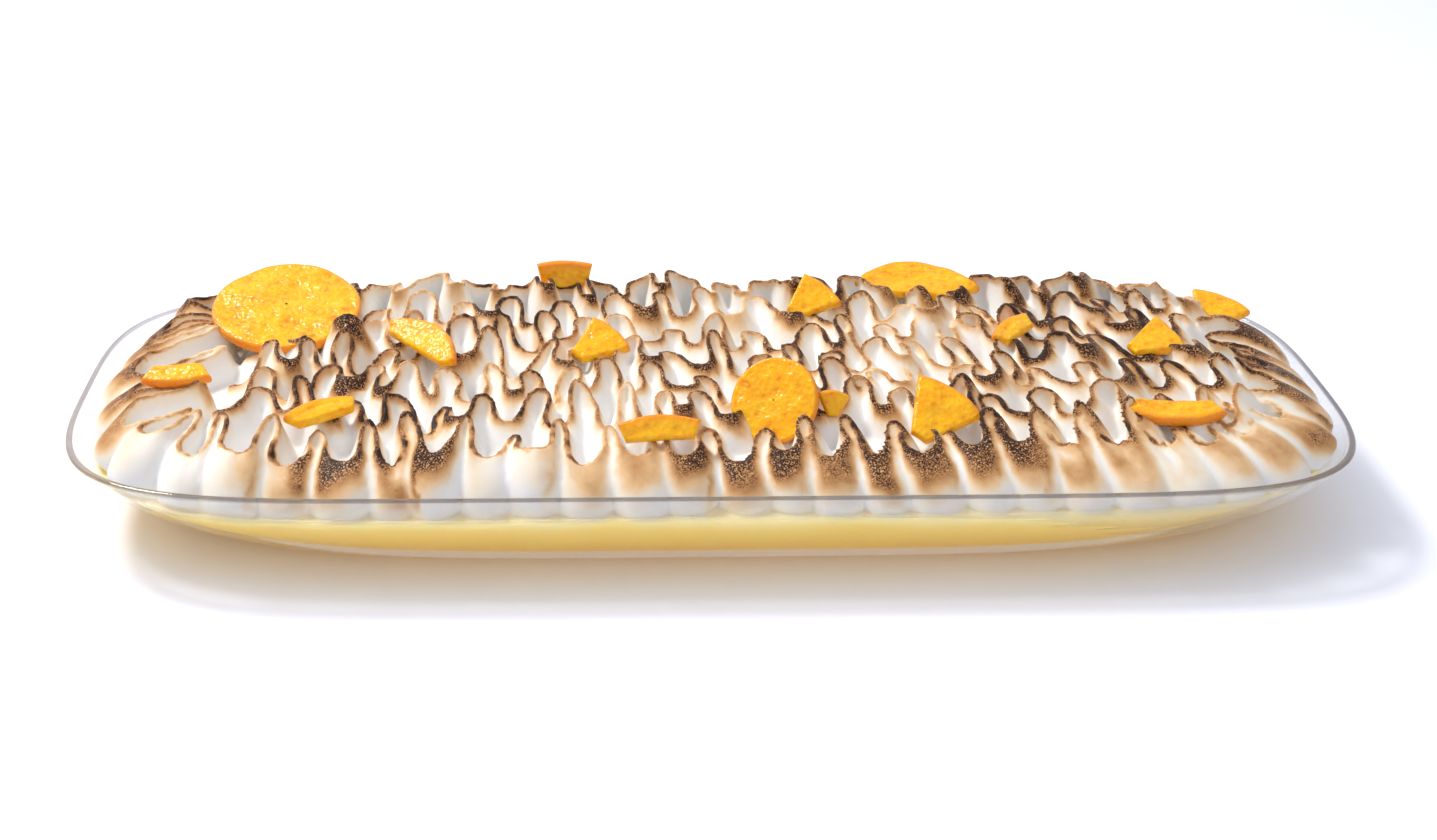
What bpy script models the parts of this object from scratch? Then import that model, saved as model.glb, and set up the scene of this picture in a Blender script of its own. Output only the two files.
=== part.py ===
"""A toasted meringue dessert in its long clear glass dish: curd, piped meringue and candied orange pieces.

The frame's origin is the middle of the dish's base, +X along the dish and +Y away from the viewer.
"""

import math
import random

import bmesh
import bpy
import numpy as np
from mathutils import Matrix

MM = 0.001

# The dish: a clear glass boat whose plan is a superellipse at every height
DISH_LENGTH = 0.580
DISH_WIDTH = 0.227
DISH_HEIGHT = 0.0465
WALL = 0.003
RIM_EASE = 0.3
BASE_INSET_X = 0.042
BASE_INSET_Y = 0.032
BELLY = 1.4
RIM_POWERS = (7.5, 3.4)
BASE_POWERS = (4.5, 2.0)
OUTLINE_POINTS = 4001
DISH_SIDES = 64
DISH_LEVELS = (0.0, 0.02, 0.08, 0.2, 0.42, 0.75, 0.97)

# The curd fills the dish to a level that rises a little to the right
CURD_LEVEL = 0.0325
CURD_SLOPE = 0.0065
GAP = 0.0003
CURD_GAP = 0.0009

# The meringue: ruffled ribbons, one round the edge and the others along the dish
RUFFLE_SEED = 11
RING_INSET = 0.0270
RING_SHIFT = -0.0048
RING_POWERS = (9.0, 4.0)
LONG_FINGERS = 0.008
LONG_FINGERS_AT = 0.150
LONG_FINGERS_REACH = 0.075
ROW_PITCH = 0.0250
ROW_REACH = (-0.222, 0.236)
ROWS = 5
LONG_WAVE = (0.0055, 0.047)
SHORT_WAVE = (0.003, 0.019)
CREST_STEP = 0.0005
POINTS_PER_FOLD = 48
END_TAPER = 0.012
SLAB_HEIGHT = 0.012
SLAB_INSET = 0.016
SLAB_SLOPE = 0.004
FOOT_DEPTH = 0.003
RISE_TO_BACK = 0.045
LEFT_STROKES = 0.018
STROKES_SHARE = 0.055
STROKE_SKEW = 0.6
MOST_SKEW = 0.35
SLANT = 0.035
SLANT_FROM = -0.1
FLAT_LEAN = 55
SEAT = 0.003
UPRIGHT_SEAT = 0.4
SLICE_PRESS = 0.85
STRIP_PRESS = 0.62
EDGE_HALF = 0.0012
BELLY_AT = 0.2
BULGE_POWER = 0.6
LIP_FROM = 0.94
FRONT_FULLNESS = 2.3
BACK_FULLNESS = 1.35
FRONT_GIRTH = 1.12
GLASS_CLEARANCE = 0.0018
FOOT_SHARE = 0.72
FRONT_DEPTH = 0.06
SPINE_POINTS = 2400
SPINE_LOOK = 0.002

# The ranges that each fold's half-wave, swing, overhang, crest and lean are drawn from, in millimetres
GIRTHS = (6.0, 7.8)
RING_OUTER_FOLDS = {
    "half": (12.0, 17.0), "swing": (6.0, 9.5), "over": (0.8, 2.2), "crest": (20, 28), "lean": (7.0, 10.5),
}
RING_INNER_FOLDS = {
    "half": (5.0, 8.0), "swing": (7.0, 14.0), "over": (1.0, 2.2), "crest": (25, 36), "lean": (-2.0, 1.0),
}
ROW_FRONT_FOLDS = {
    "half": (7.0, 17.0), "swing": (5.0, 13.0), "over": (0.8, 2.6), "crest": (21, 35), "lean": (4.0, 8.0),
}
ROW_BACK_FOLDS = {
    "half": (6.0, 14.0), "swing": (5.0, 14.0), "over": (0.8, 2.6), "crest": (26, 38), "lean": (-3.0, 1.0),
}

# Crests that stand above the others: x, y, radius and height in millimetres
PEAKS = (
    (-184, 14, 7, 10), (-171, 20, 6, 9), (-247, 40, 9, 5), (-252, 62, 10, 5), (-150, 74, 10, 4),
    (-132, 84, 8, 5), (-80, 80, 9, 5), (-62, 82, 9, 5), (-22, 86, 9, 5), (6, 84, 7, 3), (60, 84, 8, 3),
    (160, 84, 8, 4), (186, 80, 8, 4), (214, 76, 9, 4), (246, 30, 8, 3), (-150, -46, 8, 4), (20, 40, 9, 3),
)

# How fine the meringue's solid is
STATION_STEP = 0.003
SECTION_LEVELS = 5
VOXEL = 0.0018
MERINGUE_TRIANGLES = 7200
TABLE_REACH = (0.35, 0.23)
TABLE_BOTTOM = -0.01

# Candied orange: name, radius, middle and span of its arc of rind, tip as a share of the radius,
# thickness, place (x, y, z) of the piece's middle, turn about Z, lean back from upright
ORANGE_PIECES = (
    ("orange_round_left", 35, 0, 360, 1, 5.0, (-203, 46, 65), 5, 78),
    ("orange_strip_left", 34, 272, 54, 0.70, 5.0, (-243, -22, 61), 2, 74),
    ("orange_strip_front_left", 34, 90, 62, 0.76, 5.0, (-176, -57, 61), 36, 74),
    ("orange_strip_back_left", 36, 84, 90, 0.78, 5.0, (-135, 9, 65), -46, 62),
    ("orange_block_back", 62, 90, 26, 0.80, 6.0, (-71, 88, 66), 0, 12),
    ("orange_wedge_middle", 34, 42, 44, 0.30, 5.0, (-54, 8, 65), 0, 64),
    ("orange_strip_front", 48, 94, 44, 0.82, 5.5, (-30, -77, 61), -2, 40),
    ("orange_wedge_back", 34, 44, 44, 0.30, 5.0, (51, 58, 66), 0, 60),
    ("orange_tongue_middle", 20, 0, 360, 1, 5.0, (22, -52, 62), -28, 38),
    ("orange_slip_middle", 16, 75, 60, 0.30, 4.0, (49, -50, 60), 20, 30),
    ("orange_lens_back", 36, 84, 124, 0.50, 5.0, (107, 90, 61), 2, 75),
    ("orange_wedge_front", 38, 52, 54, 0.24, 5.0, (97, -59, 61), 0, 52),
    ("orange_strip_right", 33, 96, 56, 0.74, 5.0, (142, 19, 65), 43, 70),
    ("orange_wedge_right", 34, 26, 44, 0.26, 5.0, (208, 9, 66), 0, 70),
    ("orange_lens_right", 40, 268, 70, 0.78, 5.0, (200, -62, 60), 0, 74),
    ("orange_wedge_far_right", 34, 60, 54, 0.44, 5.0, (256, 56, 60), -4, 68),
)
POCKET_GROWTH = 0.0006
RIND_SIDES = 10
ROUND_SIDES = 30
ORANGE_EDGE = 0.0008


def material(name, colour, roughness, transmission=0.0):
    made = bpy.data.materials.new(name)
    made.use_nodes = True
    shader = made.node_tree.nodes["Principled BSDF"]
    shader.inputs["Base Color"].default_value = (*colour, 1.0)
    shader.inputs["Roughness"].default_value = roughness
    shader.inputs["Transmission Weight"].default_value = transmission
    return made


def collection(name):
    made = bpy.data.collections.new(name)
    bpy.context.scene.collection.children.link(made)
    return made


def loft(rings, closed=False):
    """A closed mesh through rings of equal point count: capped at both ends, or joined end to end."""
    mesh = bmesh.new()
    loops = [[mesh.verts.new(point) for point in ring] for ring in rings]
    pairs = list(zip(loops, loops[1:]))
    if closed:
        pairs.append((loops[-1], loops[0]))
    for below, above in pairs:
        for side in range(len(below)):
            after = (side + 1) % len(below)
            mesh.faces.new((below[side], below[after], above[after], above[side]))
    if not closed:
        mesh.faces.new(loops[0][::-1])
        mesh.faces.new(loops[-1])
    bmesh.ops.recalc_face_normals(mesh, faces=mesh.faces)
    return mesh


def new_object(name, mesh, group, look):
    """Turns a bmesh into a named object in a collection."""
    data = bpy.data.meshes.new(name)
    mesh.to_mesh(data)
    mesh.free()
    made = bpy.data.objects.new(name, data)
    group.objects.link(made)
    if look:
        data.materials.append(look)
    return made


def superellipse(half_x, half_y, powers, count):
    """Points spaced evenly round |x/a|^n + |y/b|^m = 1."""
    turn = np.linspace(0, 2 * math.pi, OUTLINE_POINTS)
    cos, sin = np.cos(turn), np.sin(turn)
    x = half_x * np.sign(cos) * np.abs(cos) ** (2 / powers[0])
    y = half_y * np.sign(sin) * np.abs(sin) ** (2 / powers[1])
    run = np.concatenate([[0], np.cumsum(np.hypot(np.diff(x), np.diff(y)))])
    at = np.linspace(0, run[-1], count, endpoint=False)
    return np.interp(at, run, x), np.interp(at, run, y)


def dish_section(height):
    """Half length, half width and powers of the dish's outer plan at a share of its height."""
    inset = 1 - (1 - (1 - height) ** BELLY) ** (1 / BELLY)
    powers = [low + (high - low) * height for low, high in zip(BASE_POWERS, RIM_POWERS)]
    return DISH_LENGTH / 2 - BASE_INSET_X * inset, DISH_WIDTH / 2 - BASE_INSET_Y * inset, powers


def inner_section(height, clearance=0.0):
    """The same for the inside of the glass, whose floor is one wall above the table."""
    half_x, half_y, powers = dish_section(height)
    return half_x - WALL - clearance, half_y - WALL - clearance, powers


def plan_ring(section, z, count=DISH_SIDES):
    x, y = superellipse(*section, count)
    return [(px, py, z) for px, py in zip(x, y)]


def make_dish(group, look):
    rim = WALL * RIM_EASE
    half_x, half_y, powers = dish_section(1.0)
    rings = [plan_ring(dish_section(level), level * DISH_HEIGHT) for level in DISH_LEVELS]
    rings.append(plan_ring((half_x - rim, half_y - rim, powers), DISH_HEIGHT))
    rings.append(plan_ring((half_x - WALL + rim, half_y - WALL + rim, powers), DISH_HEIGHT))
    for level in reversed(DISH_LEVELS):
        rings.append(plan_ring(inner_section(level), WALL + level * (DISH_HEIGHT - WALL)))
    dish = new_object("dish", loft(rings), group, look)
    dish.data.shade_smooth()
    dish.data.set_sharp_from_angle(angle=math.radians(40))
    return dish


def curd_top(x):
    return CURD_LEVEL + CURD_SLOPE * x


def make_curd(group, look):
    """The inside of the dish less a hair's gap, cut off at the curd's level."""
    floor = WALL + GAP
    rings, heights = [], []
    for level in DISH_LEVELS[:-1]:
        heights.append(floor + level * (DISH_HEIGHT - WALL))
        rings.append(plan_ring(inner_section(level, CURD_GAP), heights[-1]))
    below, above = rings[-2], rings[-1]
    brim = []
    for low, high in zip(below, above):
        share = (curd_top(low[0]) - low[2]) / (high[2] - low[2])
        brim.append(tuple(a + (b - a) * share for a, b in zip(low, high)))
    return new_object("curd", loft(rings[:-1] + [brim]), group, look)


def draw_folds(length, rng, outer, inner, stretch=None):
    """Folds of a ruffle until the length is used: half-wave, swing, overhang, crest height, girth and lean.

    stretch(share) lengthens the inner folds by a distance that depends on how far along they lie.
    """
    folds = []
    used = 0.0
    while used < length or len(folds) % 2:
        side = outer if len(folds) % 2 == 0 else inner
        fold = {
            "half": rng.uniform(*side["half"]) * MM,
            "swing": rng.uniform(*side["swing"]) * MM,
            "over": rng.uniform(*side["over"]) * MM,
            "crest": rng.uniform(*side["crest"]) * MM,
            "girth": rng.uniform(*GIRTHS) * MM,
            "lean": rng.uniform(*side["lean"]) * MM,
            "skew": rng.uniform(-MOST_SKEW, MOST_SKEW),
            "way": 1 if len(folds) % 2 == 0 else -1,
        }
        folds.append(fold)
        used += fold["half"]
    start = 0.0
    for fold in folds:
        if stretch and fold["way"] < 0:
            extra = stretch(start / used)
            fold["swing"] += extra
            fold["skew"] -= STROKE_SKEW * extra / LEFT_STROKES
        start += fold["half"]
        fold["half"] *= length / used
    return folds


def blend_folds(folds, name, share, closed):
    """A fold's value at its middle, eased towards its neighbours' at its ends."""
    values = np.array([fold[name] for fold in folds])
    before, after = np.roll(values, 1), np.roll(values, -1)
    if not closed:
        before[0], after[-1] = values[0], values[-1]
    columns = []
    for value, low, high in zip(values, before, after):
        away = np.abs(share - 0.5) * 2
        other = np.where(share < 0.5, low, high)
        columns.append(value + (other - value) * 0.5 * away**2 * (3 - 2 * away))
    return np.concatenate(columns)


def pressed(x, y, crest):
    """The crests' heights once the orange pieces have pressed them down, further under an upright piece."""
    for _, radius, _, span, tip, _, place, _, lean in ORANGE_PIECES:
        whole = span >= 360
        half_length = radius * MM * math.sin(math.radians(min(span, 180) / 2))
        half_height = radius * MM * (1 if whole else (1 - tip) / 2)
        reach = half_length * (SLICE_PRESS if whole and lean > FLAT_LEAN else STRIP_PRESS)
        seat = SEAT + UPRIGHT_SEAT * half_height * math.cos(math.radians(lean))
        away = np.hypot(x - place[0] * MM, y - place[1] * MM) / reach
        over = np.maximum(crest - (place[2] * MM - curd_top(x) - seat), 0)
        crest = crest - over * np.exp(-(away**4))
    return crest


def raised(x, y):
    """How far the peaks lift the crests at each point."""
    total = np.zeros_like(x)
    for peak_x, peak_y, radius, height in PEAKS:
        away = np.hypot(x - peak_x * MM, y - peak_y * MM) / (radius * MM)
        total += height * MM * np.exp(-(away**2))
    return total


def long_fingers(x, y):
    """How much further in the ring's crest lies where the fingers at the front right are long."""
    along = np.exp(-(((x - LONG_FINGERS_AT) / LONG_FINGERS_REACH) ** 2))
    return LONG_FINGERS * along * np.clip(-y / FRONT_DEPTH, 0, 1)


def section_widths(rise, fullness):
    """A ribbon's half-widths up its section, as shares of its girth: foot, belly and thinning lip."""
    to_lip = np.clip((rise - BELLY_AT) / (LIP_FROM - BELLY_AT), 0, 1)
    foot = FOOT_SHARE + (1 - FOOT_SHARE) * np.sin(rise / BELLY_AT * math.pi / 2)
    return np.where(rise < BELLY_AT, foot, 1 - to_lip**fullness)


def crest_line(spine, length, folds, closed):
    """Points every half millimetre along a ruffle's crest, with its lean, girth and height.

    spine(u) gives x, y and the outward normal at a distance u along the row's middle.
    """
    share = (np.arange(POINTS_PER_FOLD) + 0.5) / POINTS_PER_FOLD
    along, across = [], []
    start = 0.0
    for fold in folds:
        reach = fold["swing"] * np.sin(math.pi * share)
        overhang = fold["over"] * np.sin(2 * math.pi * share)
        along.append(start + fold["half"] * share - overhang + fold["skew"] * reach)
        across.append(fold["way"] * reach)
        start += fold["half"]
    along, across = np.concatenate(along), np.concatenate(across)
    x, y, normal_x, normal_y = spine(np.clip(along, 0, length) if not closed else along % length)
    lean = blend_folds(folds, "lean", share, closed)
    x, y = x + normal_x * across, y + normal_y * across
    if closed:
        further = long_fingers(x, y)
        x, y, lean = x - normal_x * further, y - normal_y * further, lean + further
    slant = SLANT * np.maximum(x - SLANT_FROM, 0)
    columns = np.stack([
        x,
        y,
        pressed(x, y, blend_folds(folds, "crest", share, closed) + RISE_TO_BACK * y + raised(x, y)),
        blend_folds(folds, "girth", share, closed),
        normal_x * lean + slant,
        normal_y * lean,
    ])
    return resample(smooth(columns, closed), closed)


def smooth(columns, closed, passes=14):
    """Eases the kinks where folds meet."""
    for _ in range(passes):
        before, after = np.roll(columns, 1, axis=1), np.roll(columns, -1, axis=1)
        if not closed:
            before[:, 0], after[:, -1] = columns[:, 0], columns[:, -1]
        columns = (before + 2 * columns + after) / 4
    return columns


def resample(columns, closed):
    """The same line with its points evenly spaced."""
    if closed:
        columns = np.concatenate([columns, columns[:, :1]], axis=1)
    run = np.concatenate([[0], np.cumsum(np.hypot(np.diff(columns[0]), np.diff(columns[1])))])
    count = int(run[-1] / CREST_STEP)
    at = np.linspace(0, run[-1], count, endpoint=not closed)
    return np.stack([np.interp(at, run, column) for column in columns])


def ribbon_rings(line, closed, step, levels):
    """Teardrop sections along a crest line: a thick foot that thins upwards to the piped edge."""
    x, y, crest, girth, lean_x, lean_y = line
    if closed:
        tangent_x, tangent_y = np.roll(x, -4) - np.roll(x, 4), np.roll(y, -4) - np.roll(y, 4)
        ends = np.ones_like(x)
    else:
        tangent_x, tangent_y = np.gradient(x, edge_order=1), np.gradient(y, edge_order=1)
        run = np.arange(len(x)) * CREST_STEP
        near = np.minimum(run, run[-1] - run) / END_TAPER
        ends = np.sqrt(np.clip(1 - (1 - np.clip(near, 0, 1)) ** 2, 0.02, 1))
    size = np.hypot(tangent_x, tangent_y)
    side_x, side_y = -tangent_y / size, tangent_x / size
    rings = []
    stride = max(1, round(step / CREST_STEP))
    rise = np.linspace(0, 1, levels)
    back_widths = section_widths(rise, BACK_FULLNESS)
    front_widths = section_widths(rise, FRONT_FULLNESS) * FRONT_GIRTH
    for i in range(0, len(x), stride):
        heights = -FOOT_DEPTH + rise * (crest[i] * ends[i] + FOOT_DEPTH)
        back_half = (girth[i] * back_widths + EDGE_HALF) * ends[i]
        front_half = (girth[i] * front_widths + EDGE_HALF) * ends[i]
        bulge = np.cos(rise * math.pi / 2) ** BULGE_POWER
        centre_x = x[i] + lean_x[i] * bulge
        centre_y = y[i] + lean_y[i] * bulge
        left = zip(centre_x + side_x[i] * back_half, centre_y + side_y[i] * back_half, heights)
        right = zip(centre_x - side_x[i] * front_half, centre_y - side_y[i] * front_half, heights)
        rings.append(list(left) + list(right)[::-1])
    return rings


def into_dish(point, clearance):
    """Lifts a point onto the curd, and brings it inside the glass if it lies beyond."""
    x, y, z = point
    z += curd_top(x) + GAP
    height = min(max((z - WALL) / (DISH_HEIGHT - WALL), 0.0), 1.0)
    half_x, half_y, powers = inner_section(height, clearance)
    reach = abs(x / half_x) ** powers[0] + abs(y / half_y) ** powers[1]
    if reach > 1:
        x *= reach ** (-1 / powers[0])
        y *= reach ** (-1 / powers[1])
    return x, y, z


def ring_spine():
    """The spine round the dish, RING_INSET in from the curd's edge."""
    half_x, half_y, _ = inner_section((CURD_LEVEL - WALL) / (DISH_HEIGHT - WALL), RING_INSET)
    x, y = superellipse(half_x, half_y, RING_POWERS, SPINE_POINTS)
    x, y = np.append(x, x[0]) + RING_SHIFT, np.append(y, y[0])
    run = np.concatenate([[0], np.cumsum(np.hypot(np.diff(x), np.diff(y)))])

    def spine(u):
        px, py = np.interp(u, run, x), np.interp(u, run, y)
        ahead = (u + SPINE_LOOK) % run[-1]
        behind = (u - SPINE_LOOK) % run[-1]
        dx = np.interp(ahead, run, x) - np.interp(behind, run, x)
        dy = np.interp(ahead, run, y) - np.interp(behind, run, y)
        size = np.hypot(dx, dy)
        return px, py, dy / size, -dx / size

    return spine, run[-1]


def row_spine(middle, wave):
    """A gently wavy spine along the dish."""
    start, end = ROW_REACH

    def spine(u):
        x = start + u
        y = middle + LONG_WAVE[0] * np.sin(x / LONG_WAVE[1] + wave)
        y = y + SHORT_WAVE[0] * np.sin(x / SHORT_WAVE[1] + 2 * wave)
        return x, y, np.zeros_like(x), -np.ones_like(x)

    return spine, end - start


def left_strokes(share):
    """How much further the folds round the dish's left end reach inwards; halfway round is that end."""
    return LEFT_STROKES * math.exp(-(((share - 0.5) / STROKES_SHARE) ** 2))


def ruffles():
    """Every crest line of the piping, as (line, closed)."""
    rng = random.Random(RUFFLE_SEED)
    spine, length = ring_spine()
    folds = draw_folds(length, rng, RING_OUTER_FOLDS, RING_INNER_FOLDS, left_strokes)
    lines = [(crest_line(spine, length, folds, True), True)]
    for row in range(ROWS):
        middle = (row - (ROWS - 1) / 2) * ROW_PITCH
        spine, length = row_spine(middle, rng.uniform(0, 2 * math.pi))
        folds = draw_folds(length, rng, ROW_FRONT_FOLDS, ROW_BACK_FOLDS)
        lines.append((crest_line(spine, length, folds, False), False))
    return lines


def slab_rings():
    """The low bed under the ruffles."""
    level = (CURD_LEVEL - WALL) / (DISH_HEIGHT - WALL)
    rings = []
    for inset, z in ((0.0, -FOOT_DEPTH), (0.0, SLAB_HEIGHT * 0.5), (SLAB_SLOPE, SLAB_HEIGHT)):
        rings.append(plan_ring(inner_section(level, SLAB_INSET + inset), z))
    return rings


def applied(obj):
    """Replaces an object's mesh by what its modifiers make of it."""
    graph = bpy.context.evaluated_depsgraph_get()
    made = bpy.data.meshes.new_from_object(obj.evaluated_get(graph), depsgraph=graph)
    obj.modifiers.clear()
    obj.data = made
    return obj


def keep_largest_body(obj):
    """Drops the loose scraps that the pockets leave."""
    mesh = bmesh.new()
    mesh.from_mesh(obj.data)
    seen, bodies = set(), []
    for first in mesh.verts:
        if first in seen:
            continue
        body, edge = {first}, [first]
        while edge:
            for link in edge.pop().link_edges:
                for vert in link.verts:
                    if vert not in body:
                        body.add(vert)
                        edge.append(vert)
        seen |= body
        bodies.append(body)
    largest = max(bodies, key=len)
    bmesh.ops.delete(mesh, geom=[v for v in mesh.verts if v not in largest], context="VERTS")
    mesh.to_mesh(obj.data)
    mesh.free()


def make_meringue(group, look, pockets, table):
    """Sweeps the ruffles, fuses them with the bed, and cuts out the pockets that hold the orange."""
    bodies = [(slab_rings(), False)]
    for line, closed in ruffles():
        bodies.append((ribbon_rings(line, closed, STATION_STEP, SECTION_LEVELS), closed))
    whole = bmesh.new()
    for rings, closed in bodies:
        placed = [[into_dish(point, GLASS_CLEARANCE) for point in ring] for ring in rings]
        piece = loft(placed, closed)
        data = bpy.data.meshes.new("piece")
        piece.to_mesh(data)
        piece.free()
        whole.from_mesh(data)
        bpy.data.meshes.remove(data)
    meringue = new_object("meringue", whole, group, look)
    fuse = meringue.modifiers.new("fuse", "REMESH")
    fuse.mode = "VOXEL"
    fuse.voxel_size = VOXEL
    applied(meringue)
    thin = meringue.modifiers.new("thin", "DECIMATE")
    triangles = sum(len(face.vertices) - 2 for face in meringue.data.polygons)
    thin.ratio = MERINGUE_TRIANGLES / triangles
    thin.use_collapse_triangulate = True
    applied(meringue)
    for cutter in [table] + pockets:
        cut = meringue.modifiers.new("cut", "BOOLEAN")
        cut.operation = "DIFFERENCE"
        cut.solver = "MANIFOLD"
        cut.object = cutter
        applied(meringue)
    keep_largest_body(meringue)
    return meringue


def make_table(group):
    """A block whose tilted top lies just above the curd, to cut the meringue's base flat."""
    reach_x, reach_y = TABLE_REACH
    corners = ((-reach_x, -reach_y), (reach_x, -reach_y), (reach_x, reach_y), (-reach_x, reach_y))
    rings = [[(x, y, TABLE_BOTTOM) for x, y in corners], [(x, y, curd_top(x) + GAP) for x, y in corners]]
    block = new_object("table_cutter", loft(rings), group, None)
    block.hide_render = True
    block.display_type = "WIRE"
    return block


def slice_outline(radius, middle, span, tip):
    """A slice's outline about its own middle: an arc of rind, then a straight cut nearer the slice's core."""
    whole = span >= 360
    sides = ROUND_SIDES if whole else RIND_SIDES
    turns = np.radians(np.linspace(middle - span / 2, middle + span / 2, sides, endpoint=not whole))
    points = [(radius * math.cos(turn), radius * math.sin(turn)) for turn in turns]
    if not whole:
        core = radius * tip
        points += [(core * math.cos(turn), core * math.sin(turn)) for turn in (turns[-1], turns[0])]
    centre = [(min(values) + max(values)) / 2 for values in zip(*points)]
    return [(x - centre[0], y - centre[1]) for x, y in points]


def slice_mesh(outline, thickness, growth=0.0):
    """The outline as a slab with eased edges, grown all round by growth."""
    reach = max(math.hypot(*point) for point in outline)
    rings = []
    face = thickness / 2 + growth
    side = face - ORANGE_EDGE
    for depth, ease in ((-face, ORANGE_EDGE), (-side, 0.0), (side, 0.0), (face, ORANGE_EDGE)):
        scale = (reach + growth * 2.0 - ease) / reach
        rings.append([(x * scale, depth, y * scale) for x, y in outline])
    return loft(rings)


def make_orange(group, cutters, look):
    """The candied orange pieces and, for each, the pocket that it sits in."""
    pockets = []
    for name, radius, middle, span, tip, thickness, place, turn, lean in ORANGE_PIECES:
        outline = slice_outline(radius * MM, middle, span, tip)
        stand = (
            Matrix.Translation([value * MM for value in place])
            @ Matrix.Rotation(math.radians(turn), 4, "Z")
            @ Matrix.Rotation(math.radians(-lean), 4, "X")
        )
        piece = new_object(name, slice_mesh(outline, thickness * MM), group, look)
        piece.matrix_world = stand
        space = slice_mesh(outline, thickness * MM, POCKET_GROWTH)
        pocket = new_object(name + "_pocket", space, cutters, None)
        pocket.matrix_world = stand
        pocket.hide_render = True
        pocket.display_type = "WIRE"
        pockets.append(pocket)
    return pockets


def main():
    for obj in list(bpy.data.objects):
        bpy.data.objects.remove(obj)
    dessert = collection("meringue_dessert")
    cutters = collection("cutters")
    glass = material("glass", (0.95, 0.97, 0.98), 0.02, 1.0)
    cream = material("curd", (0.92, 0.66, 0.18), 0.35)
    foam = material("meringue", (0.93, 0.84, 0.7), 0.6)
    candied = material("candied_orange", (0.95, 0.55, 0.03), 0.25)
    make_dish(dessert, glass)
    make_curd(dessert, cream)
    pockets = make_orange(dessert, cutters, candied)
    bpy.context.view_layer.update()
    make_meringue(dessert, foam, pockets, make_table(cutters))


main()
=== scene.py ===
"""The looks of a toasted meringue dessert in its long clear glass dish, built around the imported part."""

import math
import random

import bpy
import numpy as np
from mathutils import Matrix, Vector, noise
from mathutils.kdtree import KDTree


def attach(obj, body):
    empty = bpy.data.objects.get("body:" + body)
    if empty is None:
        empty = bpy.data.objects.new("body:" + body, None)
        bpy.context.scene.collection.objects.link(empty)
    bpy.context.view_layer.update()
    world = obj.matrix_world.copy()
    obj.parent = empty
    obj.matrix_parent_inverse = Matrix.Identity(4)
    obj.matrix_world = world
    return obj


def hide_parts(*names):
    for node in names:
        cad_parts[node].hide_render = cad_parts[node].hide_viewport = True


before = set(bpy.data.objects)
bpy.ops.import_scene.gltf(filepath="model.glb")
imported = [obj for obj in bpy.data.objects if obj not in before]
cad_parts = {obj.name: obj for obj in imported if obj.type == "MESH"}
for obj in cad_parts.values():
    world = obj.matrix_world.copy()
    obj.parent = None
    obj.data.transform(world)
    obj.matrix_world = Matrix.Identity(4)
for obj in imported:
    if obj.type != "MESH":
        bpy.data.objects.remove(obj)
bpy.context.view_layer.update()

MM = 0.001

# The dish, as in the part: its plan is a superellipse at every height
DISH_LENGTH = 0.580
DISH_WIDTH = 0.227
DISH_HEIGHT = 0.0465
WALL = 0.003
BASE_INSET_X = 0.042
BASE_INSET_Y = 0.032
BELLY = 1.4
RIM_POWERS = (7.5, 3.4)
BASE_POWERS = (4.5, 2.0)
OUTLINE_POINTS = 4001
FINE_SIDES = 360
RIM_STEPS = 9
CURD_LEVEL = 0.0325
CURD_SLOPE = 0.0065
CURD_BITE = 0.0004
BRIM_STEPS = (
    (0.0008, -0.0005), (0.0018, 0.0002), (0.0035, 0.0006), (0.007, 0.0008), (0.03, 0.0009),
)
BRIM_LIFT = 0.0006
BRIM_WAVE = 0.0004
BRIM_WAVE_SCALE = 40
BRIM_SEED = 3.0
# Shares of the height, closest together where the wall turns under
DISH_LEVELS = (
    0.0, 0.0015, 0.006, 0.015, 0.03, 0.06, 0.1, 0.16, 0.23, 0.31, 0.4, 0.5, 0.6, 0.7, 0.8, 0.88, 0.94,
)
CURD_LEVELS = (0.0, 0.02, 0.05, 0.1, 0.17, 0.26, 0.37, 0.5, 0.64, 0.78, 0.9, 1.0)
GAP = 0.0003

# How the glass and the curd change in look with height: the glass rim's dark colour is a painted reflection,
# the glass base's golden tint is a painted glow of the curd, and the curd is darkened by painted shade
# towards its base
WALL_ALPHA = 0.45
RIM_ALPHA = 1.0
BASE_ALPHA = 0.15
CLEAR_GLASS = (0.985, 0.985, 0.99)
PAINTED_DARK_RIM_GLASS = (0.24, 0.21, 0.21)
PAINTED_CURD_GLOW_GLASS = (0.99, 0.90, 0.62)
BASE_GLOW_TOP = 0.006
BASE_GLOW_FULL = 0.002
RIM_LOOK_DEPTHS = (0.0020, 0.0008)
CURD_PAINTED_SHADE_FULL = 0.002

# The meringue's ruffles, as in the part
RUFFLE_SEED = 11
RING_INSET = 0.0270
RING_SHIFT = -0.0048
RING_POWERS = (9.0, 4.0)
LONG_FINGERS = 0.008
LONG_FINGERS_AT = 0.150
LONG_FINGERS_REACH = 0.075
ROW_PITCH = 0.0250
ROW_REACH = (-0.222, 0.236)
ROWS = 5
LONG_WAVE = (0.0055, 0.047)
SHORT_WAVE = (0.003, 0.019)
CREST_STEP = 0.0005
POINTS_PER_FOLD = 48
END_TAPER = 0.012
SLAB_HEIGHT = 0.012
SLAB_INSET = 0.016
SLAB_SLOPE = 0.004
FOOT_DEPTH = 0.003
RISE_TO_BACK = 0.045
LEFT_STROKES = 0.018
STROKES_SHARE = 0.055
STROKE_SKEW = 0.6
MOST_SKEW = 0.35
SLANT = 0.035
SLANT_FROM = -0.1
FLAT_LEAN = 55
SEAT = 0.003
UPRIGHT_SEAT = 0.4
SLICE_PRESS = 0.85
STRIP_PRESS = 0.62
BELLY_AT = 0.2
BULGE_POWER = 0.6
LIP_FROM = 0.94
FRONT_FULLNESS = 2.3
BACK_FULLNESS = 1.35
FRONT_GIRTH = 1.12
GLASS_CLEARANCE = 0.0018
FOOT_SHARE = 0.72
FRONT_DEPTH = 0.06
SPINE_POINTS = 2400
SPINE_LOOK = 0.002

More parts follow.
